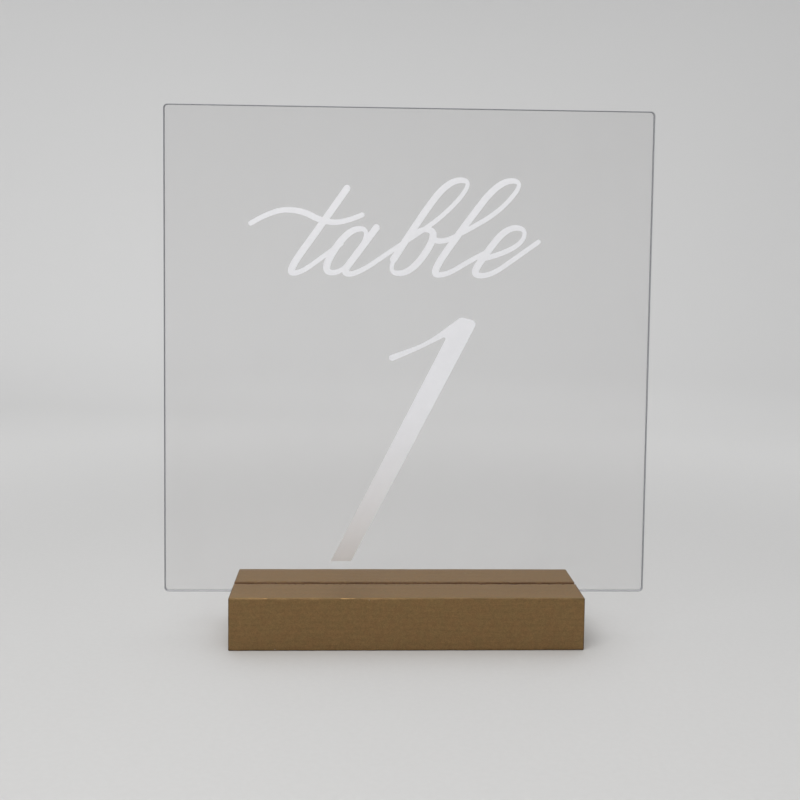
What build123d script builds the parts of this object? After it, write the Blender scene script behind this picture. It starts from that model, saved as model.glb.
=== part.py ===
from build123d import *

import os
from math import radians, tan

# Table number holder: a painted timber block with a saw kerf along its top, a clear sheet that stands in the
# kerf, and a word and a numeral cut from vinyl film on the sheet's front face.
# The origin is the centre of the block's underside. +X runs along the block, the front faces -Y, and +Z is up.

# Base block
block_length = 127.0
block_depth = 38.1
block_height = 19.05
block_edge_radius = 0.6
kerf_depth = 3.0
kerf_mouth_chamfer = 0.2

# Clear sheet
sheet_width = 177.8
sheet_height = 177.8
sheet_thickness = 3.0
sheet_corner_radius = 1.5
sheet_edge_chamfer = 0.25
sheet_side_clearance = 0.1

# Vinyl film lettering, laid out downwards from the sheet's top edge
film_thickness = 0.1
word_top_margin = 25.8
ascender_height = 33.0
x_height = 16.0
word_stroke = 2.0
word_slant = 32.0
numeral_gap = 15.2
numeral_foot_gap = 8.5
numeral_stem = 7.5
numeral_slant = 26.6
numeral_corner_radius = 2.0
flag_stroke = 3.0
flag_reach = 27.0
flag_drop = 12.0

# Places that follow from the sizes
kerf_width = sheet_thickness + 2 * sheet_side_clearance
kerf_floor = block_height - kerf_depth
sheet_top = kerf_floor + sheet_height
sheet_front = -sheet_thickness / 2
word_baseline = sheet_top - word_top_margin - word_stroke / 2 - ascender_height
numeral_top = word_baseline - word_stroke / 2 - numeral_gap
numeral_foot = block_height + numeral_foot_gap


def base_block():
    """The eased block, with its kerf cut from end to end and the kerf's mouth lightly broken."""
    block = Pos(0, 0, block_height / 2) * Box(block_length, block_depth, block_height)
    block = fillet(block.edges(), block_edge_radius)
    cutter_height = 2 * kerf_depth
    block -= Pos(0, 0, kerf_floor + cutter_height / 2) * Box(2 * block_length, kerf_width, cutter_height)
    top_edges = block.edges().filter_by(Axis.X).group_by(Axis.Z)[-1]
    kerf_mouth = top_edges.sort_by(lambda edge: abs(edge.center().Y))[:2]
    return chamfer(kerf_mouth, kerf_mouth_chamfer)


def acrylic_sheet():
    """The clear sheet, standing on the kerf's floor, with rounded corners and lightly broken edges."""
    sheet = Pos(0, 0, kerf_floor + sheet_height / 2) * Box(sheet_width, sheet_thickness, sheet_height)
    sheet = fillet(sheet.edges().filter_by(Axis.Y), sheet_corner_radius)
    large_faces = sheet.faces().filter_by(Axis.Y)
    return chamfer(large_faces.edges(), sheet_edge_chamfer)


def pen_stroke(points, radii, width, closed=False):
    """A line of one width through the points, with round ends and each corner rounded to its radius."""
    path = FilletPolyline(*points, radius=radii, close=closed) if radii else Polyline(*points)
    return Sketch() + [SlotArc(edge, width) for edge in path.edges()]


def word_stroke_through(points, radii, closed=False):
    """A pen stroke of the word. Points are given along the baseline and above it, before the letters lean."""
    lean = tan(radians(word_slant))
    return pen_stroke([(across + up * lean, up) for across, up in points], radii, word_stroke, closed)


def bowl(left, right):
    """The closed round of an a or a b, from the baseline to the x-height."""
    corners = [(left, 0), (left, x_height), (right, x_height), (right, 0)]
    return word_stroke_through(corners, [2.8, 5.5, 2.8, 5.5], closed=True)


def word():
    """The word "table" in plain joined handwriting of one line width, with its middle at the origin."""
    top = ascender_height
    t_stem = [(-40, 0.91 * top), (-40, 0), (-35, 0), (-29, 10)]
    t_bar = [(-61, 0.63 * top), (-31, 0.69 * top)]
    a_stem_and_b_loop = [(-20, x_height), (-20, 0), (-15, 0), (3, 24), (3, top), (-5, top), (-5, 6)]
    l_loop = [(4.5, 13), (8, 10.5), (21, 24), (21, top), (13, top), (13, 0), (18.5, 0), (27, 8)]
    e_loop = [(27.5, 5.5), (36, 8.5), (36, x_height), (27.5, x_height), (27.5, 0), (33.5, 0), (42, 11)]
    return Sketch() + [
        word_stroke_through(t_stem, [2.4, 4]),
        word_stroke_through(t_bar, []),
        bowl(-29, -20),
        word_stroke_through(a_stem_and_b_loop, [2.4, 4, 20, 3, 4.5]),
        bowl(-5, 4.5),
        word_stroke_through(l_loop, [2.5, 20, 3, 4.5, 2.4, 4]),
        word_stroke_through(e_loop, [5, 2.4, 5, 2.6, 3.5]),
    ]


def numeral():
    """The numeral one, centred on the sheet: a leaning stem with a level foot, and a flag from its head."""
    lean = (numeral_top - numeral_foot) * tan(radians(numeral_slant))
    right = (lean + numeral_stem) / 2
    corners = [
        (-right, numeral_foot),
        (numeral_stem - right, numeral_foot),
        (right, numeral_top),
        (right - numeral_stem, numeral_top),
    ]
    stem = make_face(Polyline(*corners, close=True))
    stem = fillet(stem.vertices().sort_by(Axis.X)[-1], numeral_corner_radius)
    head = Vector(right - numeral_stem, numeral_top - flag_stroke / 2)
    return stem + pen_stroke([head, head - Vector(flag_reach, flag_drop)], [], flag_stroke)


def film(outline):
    """A flat outline, drawn across and up, cut from film and laid on the sheet's front face."""
    face_plane = Plane(origin=(0, sheet_front, 0), x_dir=(1, 0, 0), z_dir=(0, -1, 0))
    return extrude(face_plane * outline, film_thickness)


os.makedirs("parts", exist_ok=True)
export_step(base_block(), "parts/base_block.step")
export_step(acrylic_sheet(), "parts/acrylic_sheet.step")
export_step(film(Pos(0, word_baseline) * word()), "parts/word_decal.step")
export_step(film(numeral()), "parts/numeral_decal.step")
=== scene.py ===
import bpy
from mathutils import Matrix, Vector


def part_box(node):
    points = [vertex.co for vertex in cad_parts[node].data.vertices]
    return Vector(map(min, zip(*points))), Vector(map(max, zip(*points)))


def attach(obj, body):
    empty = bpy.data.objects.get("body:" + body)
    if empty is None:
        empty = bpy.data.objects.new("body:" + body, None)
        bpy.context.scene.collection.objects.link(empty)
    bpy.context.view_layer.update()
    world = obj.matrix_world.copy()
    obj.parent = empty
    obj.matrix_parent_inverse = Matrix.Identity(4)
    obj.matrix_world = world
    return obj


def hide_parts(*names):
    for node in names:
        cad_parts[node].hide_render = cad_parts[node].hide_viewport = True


bl_info = {
    "name": "Table Number Holder",
    "version": (1, 0, 0),
    "blender": (4, 5, 0),
    "location": "3D View > Sidebar > Table Number",
    "description": "Builds a painted timber block, its clear sheet, the vinyl lettering and a plain stage",
    "category": "Object",
}

import math

import bmesh
import bpy
from bpy.props import FloatProperty, FloatVectorProperty, IntProperty, PointerProperty
from mathutils import Euler, Matrix, Vector

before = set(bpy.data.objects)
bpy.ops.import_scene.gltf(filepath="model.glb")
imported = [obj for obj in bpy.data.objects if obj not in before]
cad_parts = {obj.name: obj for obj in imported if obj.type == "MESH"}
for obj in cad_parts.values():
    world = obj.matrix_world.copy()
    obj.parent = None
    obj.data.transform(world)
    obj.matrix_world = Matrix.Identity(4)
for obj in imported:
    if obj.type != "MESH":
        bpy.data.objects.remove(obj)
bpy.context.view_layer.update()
MM = 0.001
CURVE_STEPS = 10  # points on each smooth span or round corner of the lettering
WANDER_LENGTH = 1 / 110  # metres over which the block's edges wander
CHIP_LENGTH = 1 / 900  # metres over which the kerf's chips change
FACE_WANDER = 0.12  # share of the wander that reaches the flat faces
ACRYLIC_IOR = 1.49
DUST_ON_PAINT = (0.62, 0.58, 0.5, 1.0)
DUST_ON_ACRYLIC = (0.35, 0.33, 0.31, 1.0)
DUST_ON_FILM = (0.45, 0.43, 0.41, 1.0)
WHITE = (1.0, 1.0, 1.0)

BLOCK_LOW, BLOCK_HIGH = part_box("base_block")
SHEET_LOW, SHEET_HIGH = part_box("acrylic_sheet")
WORD_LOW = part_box("word_decal")[0]
NUMERAL_LOW, NUMERAL_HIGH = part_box("numeral_decal")
BLOCK_SIZE = BLOCK_HIGH - BLOCK_LOW
SHEET_SIZE = SHEET_HIGH - SHEET_LOW


# -------- node trees


class Tree:
    """A node tree being built. Inputs go by name or index, and are plain values or other nodes' sockets."""

    def __init__(self, tree):
        self.tree = tree

    def add(self, kind, inputs=None, **settings):
        node = self.tree.nodes.new(kind)
        for name, value in settings.items():
            setattr(node, name, value)
        for key, value in (inputs or {}).items():
            self.feed(node.inputs[key], value)
        return node

    def out(self, kind, inputs=None, **settings):
        """The first output of a new node."""
        return self.add(kind, inputs, **settings).outputs[0]

    def feed(self, socket, value):
        if isinstance(value, bpy.types.NodeSocket):
            self.tree.links.new(value, socket)
        else:
            socket.default_value = value

    def geo(self, kind, inputs=None, **settings):
        """The first output of a new geometry node."""
        return self.out("GeometryNode" + kind, inputs, **settings)

    def maths(self, operation, *values):
        return self.out("ShaderNodeMath", dict(enumerate(values)), operation=operation)

    def vector_maths(self, operation, *values):
        node = self.add("ShaderNodeVectorMath", dict(enumerate(values)), operation=operation)
        return node.outputs["Value" if operation == "LENGTH" else "Vector"]

    def times(self, first, second):
        return self.maths("MULTIPLY", first, second)

    def plus(self, first, second):
        return self.maths("ADD", first, second)

    def minus(self, first, second):
        return self.maths("SUBTRACT", first, second)

    def scaled(self, vector, factor):
        """A vector or colour times a plain number or another node's value."""
        return self.out("ShaderNodeVectorMath", {0: vector, "Scale": factor}, operation="SCALE")

    def split(self, vector):
        """A vector's parts, by the names X, Y and Z."""
        return self.add("ShaderNodeSeparateXYZ", {0: vector}).outputs

    def vector(self, **parts):
        """A vector from its parts X, Y and Z, which are zero where left out."""
        return self.out("ShaderNodeCombineXYZ", parts)

    def captured(self, shape, kind, name, value):
        """A shape that carries the value along, and the value as it was there."""
        node = self.add("GeometryNodeCaptureAttribute")
        node.capture_items.new(kind, name)
        self.feed(node.inputs[0], shape)
        self.feed(node.inputs[name], value)
        return node.outputs[0], node.outputs[name]

    def joined(self, *shapes):
        """Several shapes as one."""
        join = self.add("GeometryNodeJoinGeometry")
        for shape in shapes:
            self.tree.links.new(shape, join.inputs[0])
        return join.outputs[0]

    def covered(self, shape, material, smooth):
        """A shape shaded smooth or flat, and covered in the material."""
        shaded = self.geo("SetShadeSmooth", {"Geometry": shape, "Shade Smooth": smooth})
        return self.geo("SetMaterial", {"Geometry": shaded, "Material": material})

    def ramp(self, value, low, high, to_low=0.0, to_high=1.0, smooth=True):
        """The value's place between low and high, clamped and carried over to the second pair."""
        kind = "SMOOTHSTEP" if smooth else "LINEAR"
        keys = {"Value": value, "From Min": low, "From Max": high, "To Min": to_low, "To Max": to_high}
        return self.add("ShaderNodeMapRange", keys, interpolation_type=kind).outputs["Result"]


def new_group(name, kind, inputs, outputs):
    """A node group. Each input has a socket type, or a number that is its default, and each output a type."""
    group = bpy.data.node_groups.new(name, kind)
    for label, given in inputs.items():
        socket_type = {float: FLOAT, int: INT}.get(type(given), given)
        socket = group.interface.new_socket(label, in_out="INPUT", socket_type=socket_type)
        if socket_type != given:
            socket.default_value = given
    for label, socket_type in outputs.items():
        group.interface.new_socket(label, in_out="OUTPUT", socket_type=socket_type)
    tree = Tree(group)
    given = tree.add("NodeGroupInput").outputs
    result = tree.add("NodeGroupOutput").inputs
    return tree, given, result


GEOMETRY, FLOAT, INT = "NodeSocketGeometry", "NodeSocketFloat", "NodeSocketInt"
VECTOR, MATERIAL = "NodeSocketVector", "NodeSocketMaterial"


def geometry_group(name, inputs):
    """A geometry node group, which takes in and gives back geometry."""
    return new_group(name, "GeometryNodeTree", {"Geometry": GEOMETRY, **inputs}, {"Geometry": GEOMETRY})


def shader_group(name, inputs, outputs):
    """A shader node group that works from a position and puts out plain values."""
    return new_group(name, "ShaderNodeTree", {"Vector": VECTOR, **inputs}, dict.fromkeys(outputs, FLOAT))


def drop_folds(mesh):
    """Takes out pairs of faces that a union leaves folded flat on each other."""
    shape = bmesh.new()
    shape.from_mesh(mesh)
    sharing = {}
    for face in shape.faces:
        sharing.setdefault(frozenset(face.verts), []).append(face)
    folded = [face for faces in sharing.values() if len(faces) > 1 for face in faces]
    bmesh.ops.delete(shape, geom=folded, context="FACES")
    shape.to_mesh(mesh)
    shape.free()


def run_tree(thing, group, values, name):
    """Runs a geometry node group on a curve object and returns its result as a plain mesh."""
    modifier = thing.modifiers.new(group.name, "NODES")
    modifier.node_group = group
    for item in group.interface.items_tree:
        if item.in_out == "INPUT" and item.name in values:
            modifier[item.identifier] = values[item.name]
    graph = bpy.context.evaluated_depsgraph_get()
    mesh = bpy.data.meshes.new_from_object(thing.evaluated_get(graph))
    mesh.name = name
    drop_folds(mesh)
    bpy.data.objects.remove(thing)
    return mesh


def line_object(name, lines, smooth=False):
    """A curve object on the XY plane. Each line is (points, corner radii, closed), in metres."""
    curve = bpy.data.curves.new(name, "CURVE")
    curve.dimensions = "3D"
    for points, radii, closed in lines:
        spline = curve.splines.new("NURBS" if smooth else "POLY")
        spline.points.add(len(points) - 1)
        spline.use_cyclic_u = closed
        if smooth:
            spline.order_u, spline.use_endpoint_u, spline.resolution_u = 3, not closed, CURVE_STEPS
        for target, (across, up), radius in zip(spline.points, points, radii):
            target.co = (across, up, 0, 1)
            target.radius = radius
    thing = bpy.data.objects.new(name, curve)
    bpy.context.scene.collection.objects.link(thing)
    return thing


def place(mesh, body, replaced):
    """Puts a finished mesh in the scene as a piece of that body, standing for the CAD nodes it replaces."""
    piece = bpy.data.objects.new(mesh.name, mesh)
    bpy.context.scene.collection.objects.link(piece)
    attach(piece, body)
    if replaced:
        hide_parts(*replaced)
    return piece


# -------- geometry node trees


def block_tree():
    """A section swept along X with eased ends, softened edges and a chipped kerf."""
    tree, given, result = geometry_group("Kerfed block", {
        "Length": 0.1, "Height": 0.02, "Edge radius": 0.0006, "Rings": 300,
        "End rings": 6, "Kerf half width": 0.0016, "Edge wander": 0.0001,
        "Chip depth": 0.0002, "Seed": 0.0, "Paint": MATERIAL,
    })
    radius, height, half_kerf = given["Edge radius"], given["Height"], given["Kerf half width"]

    # The rail: rings crowd together round each eased end, and each one knows how far its section shrinks.
    line = tree.geo("CurvePrimitiveLine", {"Start": (-1, 0, 0), "End": (1, 0, 0)})
    rail = tree.geo("ResampleCurve", {"Curve": line, "Count": given["Rings"]})
    index = tree.geo("InputIndex")
    last = tree.minus(given["Rings"], 1.0)
    from_end = tree.maths("MINIMUM", index, tree.minus(last, index))
    progress = tree.ramp(from_end, 0.0, given["End rings"], 1.0, 0.0, smooth=False)
    turn = tree.times(progress, math.pi / 2)
    side = tree.maths("SIGN", tree.minus(index, tree.times(last, 0.5)))
    straight = tree.minus(tree.times(given["Length"], 0.5), radius)
    along = tree.ramp(index, given["End rings"], tree.minus(last, given["End rings"]),
                      tree.times(straight, -1.0), straight, smooth=False)
    bulge = tree.times(tree.times(side, radius), tree.maths("SINE", turn))
    place_on_x = tree.vector(X=tree.plus(along, bulge))
    rail = tree.geo("SetPosition", {"Geometry": rail, "Position": place_on_x})
    rail = tree.geo("SetCurveNormal", {"Curve": rail}, mode="Z_UP")
    shrink = tree.minus(1.0, tree.maths("COSINE", turn))
    rail, inset = tree.captured(rail, "FLOAT", "Inset", tree.times(radius, shrink))

    # The section, which comes in turned half round because the sweep turns it back.
    section = tree.geo("SetCurveNormal", {"Curve": given["Geometry"]}, mode="Z_UP")
    section, outward = tree.captured(section, "VECTOR", "Outward", tree.geo("InputNormal"))
    swept = tree.geo("CurveToMesh", {"Curve": rail, "Profile Curve": section, "Fill Caps": True})

    # How far each point moves into the timber. The kerf's own edges ease less than the outer ones.
    position = tree.geo("InputPosition")
    here = tree.split(position)
    facing = tree.split(outward)
    lower = tree.minus(1.0, tree.maths("GREATER_THAN", here["Z"], tree.times(height, 0.5)))
    from_kerf = tree.minus(tree.maths("ABSOLUTE", here["Y"]), half_kerf)
    share = tree.maths("MAXIMUM", tree.ramp(from_kerf, 0.3 * MM, 2.4 * MM, 0.4, 1.0), lower)
    eased = tree.times(inset, share)

    # Sanding wanders most where the section turns a corner, and chips break the kerf's lips.
    seed = given["Seed"]
    seeded = tree.vector_maths("ADD", position, tree.vector(X=seed, Y=seed, Z=seed))
    slow = noise(tree, seeded, WANDER_LENGTH, 3.0)
    quick = noise(tree, seeded, CHIP_LENGTH, 2.0)
    corner = tree.times(tree.maths("ABSOLUTE", tree.times(facing["X"], facing["Y"])), 2.0)
    softened = tree.times(corner, tree.maths("MAXIMUM", tree.ramp(from_kerf, 2 * MM, 4 * MM), lower))
    wander = tree.times(tree.times(given["Edge wander"], tree.ramp(slow, 0.35, 0.7)),
                        tree.plus(softened, FACE_WANDER))
    near_top = tree.ramp(here["Z"], tree.minus(height, 1.2 * MM), tree.minus(height, 0.3 * MM))
    lip = tree.times(tree.ramp(from_kerf, 0.9 * MM, 0.2 * MM), near_top)
    lip = tree.times(lip, tree.ramp(from_kerf, -0.3 * MM, -0.1 * MM))
    chips = tree.times(tree.times(given["Chip depth"], tree.ramp(quick, 0.45, 0.68)), lip)
    inward = tree.plus(tree.plus(eased, wander), chips)
    move = tree.scaled(tree.vector(Y=facing["X"], Z=facing["Y"]), inward)
    moved = tree.geo("SetPosition", {"Geometry": swept, "Offset": move})
    whole = tree.geo("MergeByDistance", {"Geometry": moved, "Distance": 0.004 * MM})
    tree.feed(result[0], tree.covered(whole, given["Paint"], True))
    return tree.tree


def bead_tree():
    """Drops of paint scattered along drawn lines, thinned at random, no two alike."""
    tree, given, result = geometry_group("Paint beads", {
        "Spacing": 0.001, "Bead size": 0.0002,
        "Spread": 0.0001, "Share kept": 0.5, "Seed": 1, "Paint": MATERIAL,
    })
    count = tree.geo("ResampleCurve", {"Curve": given["Geometry"], "Length": given["Spacing"]},
                     mode="LENGTH")

    def random(kind, low, high, offset):
        first, out = {"FLOAT_VECTOR": (0, 0), "FLOAT": (2, 1)}[kind]
        ends = {"Seed": tree.plus(given["Seed"], float(offset)), first: low, first + 1: high}
        return tree.add("FunctionNodeRandomValue", ends, data_type=kind).outputs[out]

    spread = tree.scaled(random("FLOAT_VECTOR", (-3.0, -1.0, -0.2), (3.0, 1.0, 0.1), 0), given["Spread"])
    scattered = tree.geo("SetPosition", {"Geometry": count, "Offset": spread})
    size = tree.scaled(random("FLOAT_VECTOR", (0.5, 0.35, 0.25), (1.9, 0.9, 0.6), 1), given["Bead size"])
    kept = tree.maths("LESS_THAN", random("FLOAT", 0.0, 1.0, 2), given["Share kept"])
    turned = tree.vector(Z=random("FLOAT", -0.5, 0.5, 3))
    bead = tree.geo("MeshIcoSphere", {"Radius": 1.0, "Subdivisions": 2})
    beads = tree.geo("InstanceOnPoints", {"Points": scattered, "Selection": kept,
                     "Instance": bead, "Rotation": turned, "Scale": size})
    real = tree.geo("RealizeInstances", {"Geometry": beads})
    tree.feed(result[0], tree.covered(real, given["Paint"], True))
    return tree.tree


def stand_upright(tree, flat, given):
    """Turns a shape drawn on the XY plane to face -Y, with its back just inside the sheet's front face."""
    upright = tree.geo("Transform", {"Geometry": flat, "Rotation": Euler((math.pi / 2, 0, 0)),
                       "Translation": tree.vector(Y=given["Back"])})
    return tree.covered(upright, given["Vinyl"], False)


def pen_tree():
    """Smooth drawn lines given a pen's width that thins on the way up, and round ends, cut from one film."""
    tree, given, result = geometry_group("Pen strokes", {
        "Stroke": 0.002, "Contrast": 0.2, "Film": 0.0001,
        "Back": 0.0, "Vinyl": MATERIAL,
    })
    stroke, film = given["Stroke"], given["Film"]
    bent = tree.geo("ResampleCurve", {"Curve": given["Geometry"]}, mode="EVALUATED")
    level = tree.geo("SetCurveNormal", {"Curve": bent}, mode="Z_UP")
    line = tree.geo("SetCurveRadius", {"Curve": level, "Radius": 1.0})
    heading = tree.split(tree.geo("InputTangent"))["Y"]
    width = tree.minus(1.0, tree.times(heading, given["Contrast"]))
    nib = tree.geo("CurvePrimitiveQuadrilateral", {"Width": stroke, "Height": film})
    swept = tree.geo("CurveToMesh", {"Curve": line, "Profile Curve": nib, "Scale": width,
                     "Fill Caps": True})
    here = tree.split(tree.geo("InputPosition"))
    level_z = tree.times(tree.maths("SIGN", here["Z"]), tree.times(film, 0.5))
    flat = tree.vector(X=here["X"], Y=here["Y"], Z=level_z)
    even = tree.geo("SetPosition", {"Geometry": swept, "Position": flat})

    # The round ends are a hair wider than the stroke, so that the union never meets two equal corners.
    disc = tree.geo("MeshCylinder", {"Vertices": 40, "Radius": tree.times(stroke, 0.503),
                    "Depth": film})
    ends = tree.geo("CurveEndpointSelection")
    closed = tree.geo("InputSplineCyclic")
    loose = tree.times(ends, tree.minus(1.0, closed))
    caps = tree.geo("InstanceOnPoints", {"Points": line, "Selection": loose,
                    "Instance": disc, "Scale": tree.vector(X=width, Y=width, Z=1.0)})
    real = tree.geo("RealizeInstances", {"Geometry": caps})
    both = tree.joined(even, real)
    union = tree.geo("MeshBoolean", {1: both, "Self Intersection": True}, operation="UNION",
                     solver="EXACT")
    tree.feed(result[0], stand_upright(tree, union, given))
    return tree.tree


def cut_tree():
    """A closed outline with round corners, cut out of film."""
    tree, given, result = geometry_group("Cut outline", {
        "Film": 0.0001, "Corner steps": 10, "Back": 0.0,
        "Vinyl": MATERIAL,
    })
    corner = tree.geo("InputRadius")
    bent = tree.geo("FilletCurve", {"Curve": given["Geometry"], "Count": given["Corner steps"],
                    "Radius": corner, "Limit Radius": True}, mode="POLY")
    sheet = tree.geo("FillCurve", {"Curve": bent}, mode="TRIANGLES")
    raised = tree.geo("ExtrudeMesh", {"Mesh": sheet, "Individual": False,
                      "Offset": tree.vector(Z=given["Film"])})
    under = tree.geo("FlipFaces", {"Mesh": sheet})
    both = tree.joined(raised, under)
    centre = tree.vector(Z=tree.times(given["Film"], -0.5))
    centred = tree.geo("SetPosition", {"Geometry": both, "Offset": centre})
    clean = tree.geo("MergeByDistance", {"Geometry": centred, "Distance": 0.002 * MM})
    tree.feed(result[0], stand_upright(tree, clean, given))
    return tree.tree


# -------- shader groups


def noise(tree, vector, size, detail=2.0, roughness=0.5, stretch=None):
    """A noise value whose blobs are about that size in metres, drawn out by the factors of stretch."""
    if stretch:
        vector = tree.vector_maths("DIVIDE", vector, stretch)
    scale = tree.maths("DIVIDE", 1.0, size) if isinstance(size, bpy.types.NodeSocket) else 1.0 / size
    return tree.out("ShaderNodeTexNoise", {"Vector": vector, "Scale": scale, "Detail": detail,
                                           "Roughness": roughness})


def cells(tree, vector, size):
    """Cells of about that size: how far off a cell's middle is, in cells, and each cell's random numbers."""
    scale = tree.maths("DIVIDE", 1.0, size)
    found = tree.add("ShaderNodeTexVoronoi", {"Vector": vector, "Scale": scale}).outputs
    return found["Distance"], tree.add("ShaderNodeSeparateColor", {0: found["Color"]}).outputs


def timber_grain_group():
    """Growth rings round a pith and long fibres, in a board that lies along X."""
    tree, given, result = shader_group("Timber grain", {
        "Pith across": -0.03, "Pith height": -0.04,
        "Ring spacing": 0.0022, "Fibre size": 0.0005,
    }, ("Rings", "Fibres"))
    here = tree.split(given["Vector"])
    sway = tree.times(noise(tree, given["Vector"], 20 * MM, 2.0, 0.5, (4.0, 1.0, 1.0)), 7 * MM)
    across = tree.minus(here["Y"], given["Pith across"])
    height = tree.minus(here["Z"], given["Pith height"])
    squares = tree.plus(tree.times(across, across), tree.times(height, height))
    radius = tree.plus(tree.maths("SQRT", squares), sway)
    year = tree.maths("FRACT", tree.maths("DIVIDE", radius, given["Ring spacing"]))
    late_wood = tree.times(tree.ramp(year, 0.35, 0.9), tree.ramp(year, 1.0, 0.93))
    tree.feed(result["Rings"], late_wood)
    tree.feed(result["Fibres"], noise(tree, given["Vector"], given["Fibre size"], 3.0, 0.6, (22.0, 1.0, 1.0)))
    return tree.tree


def paint_film_group():
    """Sprayed paint: cloudy blotches, a slow drift of hue, metal flakes and a pebbled skin."""
    tree, given, result = shader_group("Paint film", {
        "Blotch size": 0.0011, "Drift size": 0.003,
        "Flake size": 0.00025, "Peel size": 0.0008,
    }, ("Blotch", "Drift", "Flake", "Peel"))
    vector = given["Vector"]
    tree.feed(result["Blotch"], tree.ramp(noise(tree, vector, given["Blotch size"], 3.0, 0.55), 0.3, 0.7))
    shifted = tree.vector_maths("ADD", vector, (0.31, 0.17, 0.23))
    tree.feed(result["Drift"], tree.ramp(noise(tree, shifted, given["Drift size"], 2.0), 0.35, 0.65))
    tree.feed(result["Flake"], cells(tree, vector, given["Flake size"])[1][0])
    tree.feed(result["Peel"], noise(tree, vector, given["Peel size"], 2.0, 0.4))
    return tree.tree


def dust_group():
    """A few specks of dust, one to a cell at most, and the soft clouds that wiping leaves."""
    tree, given, result = shader_group("Dust and wiping", {
        "Spacing": 0.012, "Speck size": 0.0004, "Share": 0.5,
    }, ("Specks", "Clouds"))
    from_middle, chance = cells(tree, given["Vector"], given["Spacing"])
    away = tree.times(from_middle, given["Spacing"])
    size = tree.times(given["Speck size"], tree.plus(chance[1], 0.4))
    speck = tree.maths("LESS_THAN", away, size)
    shown = tree.maths("LESS_THAN", chance[0], given["Share"])
    tree.feed(result["Specks"], tree.times(speck, shown))
    clouds = noise(tree, given["Vector"], 30 * MM, 4.0, 0.6, (1.0, 1.0, 2.2))
    tree.feed(result["Clouds"], tree.ramp(clouds, 0.45, 0.75))
    return tree.tree


def box_edge_group():
    """How far a point on a box is from the box's nearest edge."""
    tree, given, result = shader_group("Box edge distance", {
        "Half size": VECTOR, "Centre": VECTOR,
    }, ("Distance",))
    offset = tree.vector_maths("ABSOLUTE", tree.vector_maths("SUBTRACT", given["Vector"], given["Centre"]))
    depth = tree.split(tree.vector_maths("SUBTRACT", given["Half size"], offset))
    smaller = tree.maths("MINIMUM", depth["X"], depth["Y"])
    larger = tree.maths("MAXIMUM", depth["X"], depth["Y"])
    middle = tree.maths("MAXIMUM", smaller, tree.maths("MINIMUM", larger, depth["Z"]))
    tree.feed(result["Distance"], middle)
    return tree.tree


# -------- materials


def new_material(name):
    """A material with a Principled shader, and its object coordinates."""
    material = bpy.data.materials.new(name)
    material.use_nodes = True
    material.node_tree.nodes.clear()
    tree = Tree(material.node_tree)
    output = tree.add("ShaderNodeOutputMaterial")
    shader = tree.add("ShaderNodeBsdfPrincipled")
    tree.feed(output.inputs["Surface"], shader.outputs[0])
    vector = tree.add("ShaderNodeTexCoord").outputs["Object"]
    return material, tree, shader, vector


def use_group(tree, group, inputs):
    return tree.add("ShaderNodeGroup", inputs, node_tree=group).outputs


def mix_colour(tree, factor, first, second):
    return tree.add("ShaderNodeMix", {0: factor, 6: first, 7: second}, data_type="RGBA").outputs[2]


def rgb(colour, factor=1.0):
    """A colour property as a colour socket's value, brighter or darker by a factor."""
    return (*(channel * factor for channel in colour), 1.0)


def bump(tree, shader, height, distance, strength=1.0):
    node = tree.add("ShaderNodeBump", {"Height": height, "Distance": distance, "Strength": strength})
    tree.feed(shader.inputs["Normal"], node.outputs[0])


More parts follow.
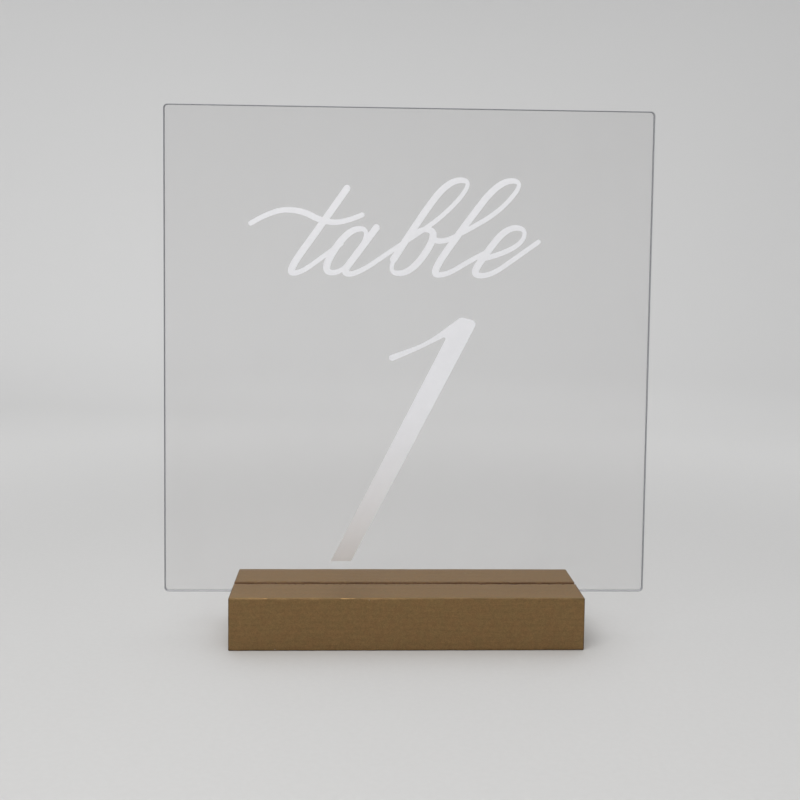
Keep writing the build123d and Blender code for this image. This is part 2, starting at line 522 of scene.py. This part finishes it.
def gold_paint(settings, groups):
    """Satin metallic gold over timber, with bare dark wood where the saw cut the kerf."""
    material, tree, shader, vector = new_material("Gold paint on timber")
    grain = use_group(tree, groups["grain"], {"Vector": vector})
    film = use_group(tree, groups["film"], {"Vector": vector})
    dust = use_group(tree, groups["dust"], {"Vector": vector, "Spacing": 7 * MM, "Speck size": 0.16 * MM,
                                            "Share": 0.5})
    half_size = Vector((settings.length, settings.depth, settings.height)) / 2
    edge = use_group(tree, groups["edge"], {"Vector": vector, "Half size": half_size,
                                            "Centre": (0.0, 0.0, settings.height / 2)})["Distance"]
    here = tree.split(vector)

    cloudy = mix_colour(tree, film["Blotch"], rgb(settings.gold, 0.93), rgb(settings.gold, 1.06))
    drift = mix_colour(tree, film["Drift"], rgb(settings.reddish), rgb(settings.greenish))
    coloured = mix_colour(tree, 0.14, cloudy, drift)
    flake = tree.ramp(film["Flake"], 0.0, 1.0, 0.84, 1.16, smooth=False)
    grained = tree.times(flake, tree.ramp(grain["Rings"], 0.0, 1.0, 1.01, 0.97))
    streaked = tree.times(grained, tree.ramp(grain["Fibres"], 0.3, 0.7, 0.975, 1.02))
    # Painted shade: the colour darkens near every edge of the box, dimming the highlight on the eased edges
    # and standing in for the darker lines along them.
    ragged_edge = tree.plus(edge, tree.times(noise(tree, vector, 6 * MM, 3.0), 0.6 * MM))
    painted_edge_shade = tree.ramp(ragged_edge, 0.3 * MM, 0.9 * MM, 0.54, 1.0)
    shade_toned = tree.scaled(coloured, tree.times(streaked, painted_edge_shade))

    # Rubbed patches along the outer edges: the lower roughness is burnished paint, and the brighter gold is a
    # painted highlight standing in for glints on the edge.
    patches = tree.ramp(noise(tree, vector, 11 * MM, 3.0, 0.6), 0.63, 0.69)
    rubbed_glint = tree.times(tree.ramp(edge, 0.5 * MM, 0.15 * MM), patches)
    glint_painted = mix_colour(tree, rubbed_glint, shade_toned, rgb(settings.gold, 1.5))

    # The kerf: bare timber with a ragged paint line and specks of overspray.
    half_kerf, kerf_floor = settings.kerf_width / 2, settings.height - settings.kerf_depth
    torn = tree.times(noise(tree, vector, 1.1 * MM, 3.0, 0.65, (1.6, 1.0, 1.0)), 1.1 * MM)
    from_middle = tree.minus(tree.maths("ABSOLUTE", here["Y"]), torn)
    lip = tree.ramp(from_middle, half_kerf - 0.05 * MM, half_kerf - 0.3 * MM)
    in_kerf = tree.times(lip, tree.maths("GREATER_THAN", here["Z"], kerf_floor - 0.05 * MM))
    overspray = tree.maths("GREATER_THAN", film["Flake"], 0.8)
    bare = tree.times(in_kerf, tree.minus(1.0, tree.times(overspray, 0.7)))
    wood = mix_colour(tree, grain["Fibres"], rgb(settings.bare_wood, 0.7), rgb(settings.bare_wood, 1.25))
    final = mix_colour(tree, bare, glint_painted, wood)
    tree.feed(shader.inputs["Base Color"], mix_colour(tree, dust["Specks"], final, DUST_ON_PAINT))
    covered = tree.minus(1.0, tree.maths("MAXIMUM", bare, dust["Specks"]))
    tree.feed(shader.inputs["Metallic"], tree.times(covered, settings.metallic))
    low, high = settings.roughness - 0.05, settings.roughness + 0.07
    satin = tree.ramp(film["Flake"], 0.0, 1.0, low, high, smooth=False)
    rough = tree.plus(satin, tree.times(bare, 0.3))
    tree.feed(shader.inputs["Roughness"], tree.minus(rough, tree.times(rubbed_glint, 0.12)))

    skin = tree.plus(tree.times(film["Peel"], 0.5), tree.times(film["Flake"], 0.12))
    height = tree.plus(skin, tree.times(grain["Fibres"], 0.14))
    height = tree.minus(height, tree.times(grain["Rings"], 0.12))
    bump(tree, shader, height, 0.12 * MM, 0.6)
    return material


def bead_paint(settings, groups):
    """The same gold where it dried in beads, thicker and shinier."""
    material, tree, shader, vector = new_material("Gold paint beads")
    film = use_group(tree, groups["film"], {"Vector": vector, "Blotch size": 0.6 * MM, "Peel size": 0.3 * MM})
    cloudy = mix_colour(tree, film["Blotch"], rgb(settings.gold, 0.8), rgb(settings.gold, 1.35))
    tree.feed(shader.inputs["Base Color"], cloudy)
    tree.feed(shader.inputs["Roughness"], tree.ramp(film["Flake"], 0.0, 1.0, 0.3, 0.45))
    shader.inputs["Metallic"].default_value = settings.metallic
    bump(tree, shader, film["Peel"], 0.05 * MM, 0.5)
    return material


def clear_material(name, settings, groups, roughness, edge):
    """Clear acrylic that lets light through to its shadow; its cut edge is finely ridged and painted a dark
    bluish grey as painted shade, for the dark line a clear edge shows.
    """
    material, tree, shader, vector = new_material(name)
    output = next(node for node in tree.tree.nodes if node.type == "OUTPUT_MATERIAL")
    on_face = tree.vector_maths("MULTIPLY", vector, (1.0, 0.0, 1.0))
    dust = use_group(tree, groups["dust"], {"Vector": on_face, "Spacing": 22 * MM, "Speck size": 0.28 * MM,
                                            "Share": 0.36})
    # Painted shade: the cut edge takes a dark bluish grey, and lets less light through, standing in for the
    # dark line that light bending through a clear edge gives.
    tint = rgb(settings.edge_shade_tint if edge else settings.face_tint)
    wiped = mix_colour(tree, dust["Clouds"], tint, rgb(tint[:3], 0.985))
    tree.feed(shader.inputs["Base Color"], mix_colour(tree, dust["Specks"], wiped, DUST_ON_ACRYLIC))
    shader.inputs["Roughness"].default_value = roughness
    shader.inputs["IOR"].default_value = ACRYLIC_IOR
    shader.inputs["Transmission Weight"].default_value = 0.55 if edge else 1.0
    if edge:
        ridges = noise(tree, vector, 0.3 * MM, 2.0, 0.6, (1.0, 40.0, 1.0))
        bump(tree, shader, ridges, 0.02 * MM, 0.3)
    else:
        relief = tree.plus(tree.times(dust["Specks"], 0.4), dust["Clouds"])
        bump(tree, shader, relief, 0.01 * MM, 0.2)
    see_through = tree.add("ShaderNodeBsdfTransparent", {"Color": rgb(settings.shadow_tint)})
    shadow = tree.add("ShaderNodeLightPath").outputs["Is Shadow Ray"]
    mixed = tree.add("ShaderNodeMixShader", {0: shadow, 1: shader.outputs[0], 2: see_through.outputs[0]})
    tree.feed(output.inputs["Surface"], mixed.outputs[0])
    return material


def vinyl_material(settings, groups):
    """White cut film with a faint pebble, a little dust, and painted shade: darker and warmer towards the
    painted block, standing in for the shade and the gold block's warm bounce light there.
    """
    material, tree, shader, vector = new_material("White vinyl film")
    on_face = tree.vector_maths("MULTIPLY", vector, (1.0, 0.0, 1.0))
    dust = use_group(tree, groups["dust"], {"Vector": on_face, "Spacing": 9 * MM, "Speck size": 0.1 * MM,
                                            "Share": 0.4})
    film = use_group(tree, groups["film"], {"Vector": vector, "Blotch size": 4 * MM, "Peel size": 0.9 * MM})
    height = tree.split(vector)["Z"]
    # Painted shade and painted warm bounce light: the colour grows darker and warmer from the fade height
    # down to the block's top.
    painted_shade_low_down = tree.ramp(height, BLOCK_HIGH.z + settings.fade, BLOCK_HIGH.z - 10 * MM)
    shade_toned = mix_colour(tree, painted_shade_low_down, rgb(settings.white), rgb(settings.bounce_shade_white))
    cloudy = tree.scaled(shade_toned, tree.ramp(film["Blotch"], 0.0, 1.0, 0.985, 1.0))
    tree.feed(shader.inputs["Base Color"], mix_colour(tree, dust["Specks"], cloudy, DUST_ON_FILM))
    tree.feed(shader.inputs["Roughness"], tree.ramp(film["Peel"], 0.3, 0.7, 0.38, 0.5))
    bump(tree, shader, tree.plus(film["Peel"], dust["Specks"]), 0.02 * MM, 0.35)
    return material


def floor_material(settings):
    """Pale seamless paper, lightest some way behind the object."""
    material, tree, shader, vector = new_material("Pale paper")
    fibres = noise(tree, vector, 2 * MM, 3.0)
    away = tree.vector_maths("LENGTH", vector)
    far_off = tree.ramp(away, settings.grade_start, settings.grade_end)
    up_the_wall = tree.ramp(away, settings.grade_end, settings.wall_start)
    graded = mix_colour(tree, far_off, rgb(settings.floor_colour), rgb(settings.far_colour))
    graded = mix_colour(tree, up_the_wall, graded, rgb(settings.wall_colour))
    tree.feed(shader.inputs["Base Color"], tree.scaled(graded, tree.ramp(fibres, 0.3, 0.7, 0.985, 1.0)))
    shader.inputs["Roughness"].default_value = 0.75
    shader.inputs["Specular IOR Level"].default_value = 0.2
    bump(tree, shader, fibres, 0.08 * MM, 0.3)
    return material


def shared_groups():
    """The shader groups, built once and kept in the file by name."""
    makers = {"grain": ("Timber grain", timber_grain_group), "film": ("Paint film", paint_film_group),
              "dust": ("Dust and wiping", dust_group), "edge": ("Box edge distance", box_edge_group)}
    return {key: bpy.data.node_groups.get(name) or make() for key, (name, make) in makers.items()}


# -------- outlines


def rounded_outline(corners, arc_steps, step=None):
    """Points round a closed outline of (across, up, radius) corners, with straights divided to the step."""
    points = []
    for index, (across, up, radius) in enumerate(corners):
        here = Vector((across, up))
        before = (Vector(corners[index - 1][:2]) - here).normalized()
        after = (Vector(corners[(index + 1) % len(corners)][:2]) - here).normalized()
        half = before.angle(after) / 2
        centre = here + (before + after).normalized() * radius / math.sin(half)
        start = here + before * radius / math.tan(half) - centre
        end = here + after * radius / math.tan(half) - centre
        sweep = start.angle_signed(end)
        for turn in range(arc_steps + 1):
            points.append(centre + Matrix.Rotation(-sweep * turn / arc_steps, 2) @ start)
    if not step:
        return points
    divided = []
    for index, point in enumerate(points):
        after = points[(index + 1) % len(points)]
        pieces = max(1, math.ceil((after - point).length / step))
        divided += [point.lerp(after, share / pieces) for share in range(pieces)]
    return divided


# The word's pen strokes: each smooth stroke's control points, and whether it closes on itself. Points are in
# millimetres across from the sheet's middle and up from the baseline, before the slant.
WORD_STROKES = (
    ([(-38.5, 30.5), (-39.5, 16), (-41, 0), (-36, -0.5), (-31, 6.5), (-28, 10.5)], False),
    ([(-65, 17.5), (-60, 22.5), (-50, 22.5), (-40, 18.5), (-32, 18), (-27, 21)], False),
    ([(-20, 0), (-20, 16), (-29, 16), (-29, 0)], True),
    ([(-19, 16.5), (-20, 7), (-20.9, -0.4), (-15.1, -0.4), (-8, 8.5), (3, 21), (5.5, 34), (-4, 34),
      (-5.5, 20), (-5.5, 5)], False),
    ([(-5.5, 0), (-5.5, 16), (4.5, 16), (4.5, 0)], True),
    ([(4.3, 12.5), (8, 11), (14, 15.5), (22, 23), (24, 34), (14.5, 34), (12.5, 18), (11.1, -0.4),
      (17.4, -0.4), (22, 4.5), (27, 8.5)], False),
    ([(26.5, 5.5), (33, 7.5), (37.5, 12), (35, 17), (28, 17), (26.5, 7), (26.5, -0.5), (33.5, -0.5),
      (38.5, 6), (43, 12)], False),
)


# -------- settings


def length(name, description, default):
    return FloatProperty(name=name, description=description, default=default, unit="LENGTH", precision=5)


def share(name, description, default):
    return FloatProperty(name=name, description=description, default=default, min=0.0, max=1.0)


def power(name, description, default):
    return FloatProperty(name=name, description=description, default=default, unit="POWER")


def angle(name, description, degrees):
    return FloatProperty(name=name, description=description, default=math.radians(degrees), subtype="ANGLE")


def colour(name, description, default):
    return FloatVectorProperty(name=name, description=description, default=default, subtype="COLOR", min=0.0,
                               max=1.0)


class BlockSettings(bpy.types.PropertyGroup):
    length: length("Length", "Block length along the sheet", BLOCK_SIZE.x)
    depth: length("Depth", "Block depth from front to back", BLOCK_SIZE.y)
    height: length("Height", "Block height", BLOCK_SIZE.z)
    edge_radius: length("Edge radius", "Radius of the sanded edges", 0.4 * MM)
    kerf_width: length("Kerf width", "Width of the saw kerf", SHEET_SIZE.y + 0.2 * MM)
    kerf_depth: length("Kerf depth", "Depth of the saw kerf", BLOCK_SIZE.z - SHEET_LOW.z)
    lip_radius: length("Kerf lip radius", "Rounding of the kerf's mouth", 0.3 * MM)
    edge_wander: length("Edge wander", "How far sanding wanders along the edges", 0.16 * MM)
    chip_depth: length("Chip depth", "Depth of the chips along the kerf", 0.2 * MM)
    bead_size: length("Bead size", "Size of the paint beads along the kerf", 0.17 * MM)
    bead_spacing: length("Bead spacing", "Distance between paint beads before thinning", 0.8 * MM)
    seed: IntProperty(name="Seed", description="Seed of the wander, chips and beads", default=7)
    metallic: share("Metallic", "How metallic the paint is", 0.8)
    roughness: share("Roughness", "Roughness of the paint", 0.46)
    gold: colour("Gold", "Main paint colour", (0.252, 0.154, 0.065))
    reddish: colour("Reddish gold", "Warm drift of the paint", (0.29, 0.155, 0.066))
    greenish: colour("Greenish gold", "Cool drift of the paint", (0.245, 0.18, 0.074))
    bare_wood: colour("Bare wood", "Timber inside the kerf", (0.17, 0.085, 0.042))


class SheetSettings(bpy.types.PropertyGroup):
    corner_radius: length("Corner radius", "Radius of the sheet's corners", 1.5 * MM)
    rim: length("Rim easing", "Easing of the sheet's rims", 0.25 * MM)
    face_tint: colour("Face tint", "Tint of the clear faces", (0.925, 0.922, 0.922))
    # Painted shade: the edge tint is a dark bluish grey standing in for the dark look of a clear cut edge.
    edge_shade_tint: colour("Edge tint", "Tint of the cut edges", (0.28, 0.29, 0.32))
    shadow_tint: colour("Shadow tint", "Light let through to the shadow", (0.8, 0.8, 0.8))


class LetteringSettings(bpy.types.PropertyGroup):
    film: length("Film", "Thickness of the vinyl film", 0.1 * MM)
    bite: length("Bite", "How far the film's back lies inside the sheet's face", 0.02 * MM)
    stroke: length("Stroke", "Mean width of the word's strokes", 2.0 * MM)
    contrast: share("Contrast", "Share by which strokes thin going up", 0.27)
    slant: angle("Word slant", "Lean of the word from upright", 32.0)
    numeral_slant: angle("Numeral slant", "Lean of the numeral from upright", 26.6)
    stem: length("Numeral stem", "Width of the numeral's stem", 7.5 * MM)
    flag: length("Numeral flag", "Width of the numeral's flag at the head", 4.0 * MM)
    flag_reach: FloatVectorProperty(name="Flag reach", description="How far the flag reaches back and down",
                                    size=2, unit="LENGTH", default=(25.0 * MM, 15.6 * MM))
    word_nudge: length("Word nudge", "How far the word sits to the side of the middle", -3.5 * MM)
    nudge: length("Numeral nudge", "How far the numeral sits to the side of the middle", -1.3 * MM)
    # Painted shade: the fade height and the darker warm white set how the film darkens and warms towards the
    # block, standing in for shade and the gold block's bounce light.
    fade: length("Warm fade", "Height above the block at which the film's warm tone ends", 75 * MM)
    white: colour("White", "Colour of the film", (0.90, 0.905, 0.94))
    bounce_shade_white: colour("Warm white", "Colour of the film near the block", (0.695, 0.67, 0.655))


class StageSettings(bpy.types.PropertyGroup):
    floor_radius: length("Floor radius", "Radius of the flat floor", 0.9)
    sweep_radius: length("Sweep radius", "Radius of the curve from floor to wall", 1.5)
    wall_height: length("Wall height", "Height of the wall above the curve", 0.3)
    camera_place: FloatVectorProperty(name="Camera place", description="Where the camera stands",
                                      subtype="XYZ", unit="LENGTH",
                                      default=(-18.56 * MM, -403.7 * MM, 140.33 * MM))
    pitch: angle("Pitch", "Camera tilt, down below zero", -3.83)
    yaw: angle("Yaw", "Camera turn to the left", -2.19)
    roll: angle("Roll", "Camera roll", -0.67)
    lens: FloatProperty(name="Lens", description="Focal length in millimetres", default=49.7)
    shift: FloatProperty(name="Shift", description="Camera shift upwards", default=-0.0875)
    key_power: power("Key light", "Power of the key light", 2.6)
    top_power: power("Top light", "Power of the overhead light", 7.9)
    fill_power: power("Fill light", "Power of the light on the paper in front", 3.5)
    back_power: power("Backdrop light", "Power of the backdrop's light", 4.8)
    world: FloatProperty(name="Ambient", description="Strength of the pale surroundings", default=0.6)
    floor_colour: colour("Floor", "Colour of the paper near the object", (0.6, 0.6, 0.6))
    far_colour: colour("Far floor", "Colour of the paper where it is lightest", (0.7, 0.7, 0.7))
    wall_colour: colour("Wall", "Colour of the paper up the wall", (0.64, 0.64, 0.64))
    grade_start: length("Grade start", "Distance at which the paper begins to lighten", 0.2)
    grade_end: length("Grade end", "Distance at which the paper is lightest", 0.5)
    wall_start: length("Wall start", "Distance at which the paper reaches the wall's colour", 1.0)


# -------- operators


class OBJECT_OT_painted_block(bpy.types.Operator):
    """Sweeps the kerfed section of the timber block along its length and paints it gold"""
    bl_idname = "table_number.painted_block"
    bl_label = "Painted block"

    def execute(self, context):
        block = context.scene.table_block
        half_depth, half_kerf, top = block.depth / 2, block.kerf_width / 2, block.height
        floor = top - block.kerf_depth
        edge, lip, floor_corner, arc_steps, step = block.edge_radius, block.lip_radius, 0.15 * MM, 6, 0.8 * MM
        corners = [(-half_depth, 0, edge), (half_depth, 0, edge), (half_depth, top, edge),
                   (half_kerf, top, lip), (half_kerf, floor, floor_corner), (-half_kerf, floor, floor_corner),
                   (-half_kerf, top, lip), (-half_depth, top, edge)]
        section = [(-across, -up) for across, up in rounded_outline(corners, arc_steps, step)]
        line = line_object("section", [(section, [0.0] * len(section), True)])
        paint = gold_paint(block, shared_groups())
        mesh = run_tree(line, block_tree(), {
            "Length": block.length, "Height": top, "Edge radius": edge, "Rings": 330, "End rings": arc_steps,
            "Kerf half width": half_kerf, "Edge wander": block.edge_wander, "Chip depth": block.chip_depth,
            "Seed": float(block.seed), "Paint": paint}, "painted_block")
        place(mesh, "base", ["base_block"])
        return {"FINISHED"}


class OBJECT_OT_kerf_beads(bpy.types.Operator):
    """Scatters beads of dried paint along both lips of the kerf"""
    bl_idname = "table_number.kerf_beads"
    bl_label = "Kerf paint beads"

    def execute(self, context):
        block = context.scene.table_block
        reach = block.length / 2 - 3 * block.edge_radius
        from_wall, sunk = 0.42 * MM, 0.02 * MM
        across = block.kerf_width / 2 + from_wall
        lips = [([(-reach, side * across), (reach, side * across)], [0.0, 0.0], False) for side in (-1, 1)]
        line = line_object("lips", lips)
        line.data.transform(Matrix.Translation((0, 0, block.height - sunk)))
        mesh = run_tree(line, bead_tree(), {
            "Spacing": block.bead_spacing, "Bead size": block.bead_size, "Spread": 0.12 * MM,
            "Share kept": 0.55, "Seed": block.seed, "Paint": bead_paint(block, shared_groups())},
            "kerf_paint_beads")
        place(mesh, "base", [])
        return {"FINISHED"}


class OBJECT_OT_clear_sheet(bpy.types.Operator):
    """Builds the clear sheet with eased rims and polished cut edges"""
    bl_idname = "table_number.clear_sheet"
    bl_label = "Clear sheet"

    def execute(self, context):
        sheet = context.scene.table_sheet
        half_width, half_thick = SHEET_SIZE.x / 2, SHEET_SIZE.y / 2
        low, high, rim_steps = SHEET_LOW.z, SHEET_HIGH.z, 5
        levels = []
        for step in range(rim_steps + 1):
            turn = math.pi / 2 * step / rim_steps
            levels.append((-half_thick + sheet.rim * (1 - math.sin(turn)), sheet.rim * (1 - math.cos(turn))))
        levels = levels[::-1] + [(-across, inset) for across, inset in levels]
        shape = bmesh.new()
        rings = []
        for across, inset in levels:
            radius, right = sheet.corner_radius - inset, half_width - inset
            corners = [(-right, low + inset, radius), (right, low + inset, radius),
                       (right, high - inset, radius), (-right, high - inset, radius)]
            rings.append([shape.verts.new((x, across, z)) for x, z in rounded_outline(corners, CURVE_STEPS)])
        shape.faces.new(rings[0])
        shape.faces.new(rings[-1])
        for near, far in zip(rings, rings[1:]):
            for index in range(len(near)):
                after = (index + 1) % len(near)
                rim = shape.faces.new((near[index], near[after], far[after], far[index]))
                rim.smooth = True
                rim.material_index = 1
        bmesh.ops.recalc_face_normals(shape, faces=shape.faces)
        mesh = bpy.data.meshes.new("clear_sheet")
        shape.to_mesh(mesh)
        shape.free()
        groups = shared_groups()
        mesh.materials.append(clear_material("Clear acrylic", sheet, groups, 0.0, False))
        mesh.materials.append(clear_material("Acrylic cut edge", sheet, groups, 0.3, True))
        place(mesh, "sheet", ["acrylic_sheet"])
        return {"FINISHED"}


class OBJECT_OT_lettering(bpy.types.Operator):
    """Cuts the word and the numeral from white film on the sheet's front face"""
    bl_idname = "table_number.lettering"
    bl_label = "Vinyl lettering"

    def execute(self, context):
        letters = context.scene.table_lettering
        vinyl = vinyl_material(letters, shared_groups())
        common = {"Film": letters.film, "Corner steps": CURVE_STEPS, "Vinyl": vinyl,
                  "Back": SHEET_LOW.y - letters.film / 2 + letters.bite}
        baseline, lean = WORD_LOW.z + letters.stroke / 2, math.tan(letters.slant)
        strokes = []
        for points, closed in WORD_STROKES:
            slanted = [((across + up * lean) * MM + letters.word_nudge, baseline + up * MM)
                       for across, up in points]
            strokes.append((slanted, [1.0] * len(points), closed))
        word = run_tree(line_object("word", strokes, smooth=True), pen_tree(),
                        {**common, "Stroke": letters.stroke, "Contrast": letters.contrast}, "vinyl_word")
        place(word, "sheet", ["word_decal"])

        foot, top = NUMERAL_LOW.z, NUMERAL_HIGH.z + 0.5 * MM
        lean = math.tan(letters.numeral_slant)
        right = ((top - foot) * lean + letters.stem) / 2
        tip_half = letters.flag * 0.28
        head = Vector((right - letters.stem, top))
        tip = head - Vector(letters.flag_reach)
        crotch_height = top - 1.7 * letters.flag
        crotch = Vector((-right + (crotch_height - foot) * lean, crotch_height))
        sag = Vector((1.5, -2.2)) * MM
        over = (head.lerp(tip, 0.5) + sag * 0.8, 40 * MM)
        under = (crotch.lerp(tip, 0.5) + sag * 0.35, 40 * MM)
        outline = [((-right, foot), 0.2 * MM), ((letters.stem - right, foot), 0.2 * MM),
                   ((right, top - 1.6 * MM), 1.6 * MM), ((head.x + 1.4 * MM, head.y), 2.2 * MM), over,
                   ((tip.x, tip.y + tip_half), tip_half),
                   ((tip.x + tip_half * 0.6, tip.y - tip_half), tip_half), under, (crotch, 0.6 * MM)]
        nudge = Vector((letters.nudge, 0))
        points = [Vector(point) + nudge for point, radius in outline]
        line = line_object("numeral", [(points, [radius for point, radius in outline], True)])
        numeral = run_tree(line, cut_tree(), common, "vinyl_numeral")
        place(numeral, "sheet", ["numeral_decal"])
        return {"FINISHED"}


class OBJECT_OT_stage(bpy.types.Operator):
    """Sets out the round seamless floor, the soft lights and the camera"""
    bl_idname = "table_number.stage"
    bl_label = "Stage"

    def execute(self, context):
        stage = context.scene.table_stage
        scene = context.scene
        turns, steps = 96, 16  # round the floor, and up its curve
        profile = [(stage.floor_radius * share, 0.0) for share in (0.1, 0.3, 0.6)]
        for step in range(steps + 1):
            turn = math.pi / 2 * step / steps
            profile.append((stage.floor_radius + stage.sweep_radius * math.sin(turn),
                            stage.sweep_radius * (1 - math.cos(turn))))
        profile.append((profile[-1][0], stage.sweep_radius + stage.wall_height))
        shape = bmesh.new()
        middle = shape.verts.new((0, 0, 0))
        around = [2 * math.pi * turn / turns for turn in range(turns)]
        rings = [[shape.verts.new((radius * math.cos(turn), radius * math.sin(turn), height))
                  for turn in around] for radius, height in profile]
        for index in range(turns):
            after = (index + 1) % turns
            shape.faces.new((middle, rings[0][index], rings[0][after]))
            for near, far in zip(rings, rings[1:]):
                shape.faces.new((near[index], far[index], far[after], near[after]))
        for face in shape.faces:
            face.smooth = True
        mesh = bpy.data.meshes.new("floor_sweep")
        shape.to_mesh(mesh)
        shape.free()
        mesh.materials.append(floor_material(stage))
        floor = bpy.data.objects.new("floor_sweep", mesh)
        scene.collection.objects.link(floor)

        for name, place_at, aim, size, strength, tint in (
                ("key_light", (-0.16, -0.4, 0.63), (0, 0, 0.06), 0.5, stage.key_power, (1.0, 0.985, 0.96)),
                ("top_light", (0.0, 0.9, 1.4), (0, 0.7, 0), 1.8, stage.top_power, WHITE),
                ("front_fill", (0.3, -0.6, 1.0), (0.1, -2.2, 0.8), 0.9, stage.fill_power, WHITE),
                ("backdrop_light", (-0.35, 0.55, 1.0), (-0.1, 2.2, 1.1), 0.9, stage.back_power, WHITE)):
            light = bpy.data.lights.new(name, "AREA")
            light.shape, light.size, light.energy, light.color = "SQUARE", size, strength, tint
            lamp = bpy.data.objects.new(name, light)
            lamp.location = place_at
            lamp.visible_camera = False
            lamp.rotation_euler = (Vector(aim) - lamp.location).to_track_quat("-Z", "Y").to_euler()
            scene.collection.objects.link(lamp)

        world = bpy.data.worlds.new("Pale surroundings")
        world.use_nodes = True
        background = world.node_tree.nodes["Background"]
        background.inputs["Color"].default_value = rgb(WHITE)
        background.inputs["Strength"].default_value = stage.world
        scene.world = world

        lens = bpy.data.cameras.new("camera")
        lens.lens, lens.sensor_width, lens.shift_y = stage.lens, 36.0, stage.shift
        lens.clip_start, lens.clip_end = 0.01, 20.0
        camera = bpy.data.objects.new("camera", lens)
        turned = (Matrix.Rotation(stage.yaw, 4, "Z") @ Matrix.Rotation(stage.pitch, 4, "X")
                  @ Matrix.Rotation(stage.roll, 4, "Y") @ Matrix.Rotation(math.pi / 2, 4, "X"))
        camera.matrix_world = Matrix.Translation(stage.camera_place) @ turned
        scene.collection.objects.link(camera)
        scene.camera = camera
        scene.view_settings.view_transform = "Standard"
        return {"FINISHED"}


class VIEW3D_PT_table_number(bpy.types.Panel):
    """Lists the sizes, colours and pieces of the table number holder"""
    bl_idname = "VIEW3D_PT_table_number"
    bl_label = "Table Number Holder"
    bl_space_type = "VIEW_3D"
    bl_region_type = "UI"
    bl_category = "Table Number"

    def draw(self, context):
        for operators, settings in SECTIONS:
            box = self.layout.box()
            group = getattr(context.scene, settings)
            for name in group.bl_rna.properties.keys():
                if name not in ("rna_type", "name"):
                    box.prop(group, name)
            for operator in operators:
                box.operator(operator.bl_idname)


SECTIONS = (
    ((OBJECT_OT_painted_block, OBJECT_OT_kerf_beads), "table_block"),
    ((OBJECT_OT_clear_sheet,), "table_sheet"),
    ((OBJECT_OT_lettering,), "table_lettering"),
    ((OBJECT_OT_stage,), "table_stage"),
)
SETTINGS = {"table_block": BlockSettings, "table_sheet": SheetSettings, "table_lettering": LetteringSettings,
            "table_stage": StageSettings}
CLASSES = (*SETTINGS.values(), OBJECT_OT_painted_block, OBJECT_OT_kerf_beads, OBJECT_OT_clear_sheet,
           OBJECT_OT_lettering, OBJECT_OT_stage, VIEW3D_PT_table_number)


def register():
    for entry in CLASSES:
        bpy.utils.register_class(entry)
    for name, settings in SETTINGS.items():
        setattr(bpy.types.Scene, name, PointerProperty(type=settings))


def unregister():
    for name in SETTINGS:
        delattr(bpy.types.Scene, name)
    for entry in reversed(CLASSES):
        bpy.utils.unregister_class(entry)


def main():
    register()
    bpy.ops.table_number.stage()
    bpy.ops.table_number.painted_block()
    bpy.ops.table_number.kerf_beads()
    bpy.ops.table_number.clear_sheet()
    bpy.ops.table_number.lettering()


if __name__ == "__main__":
    main()
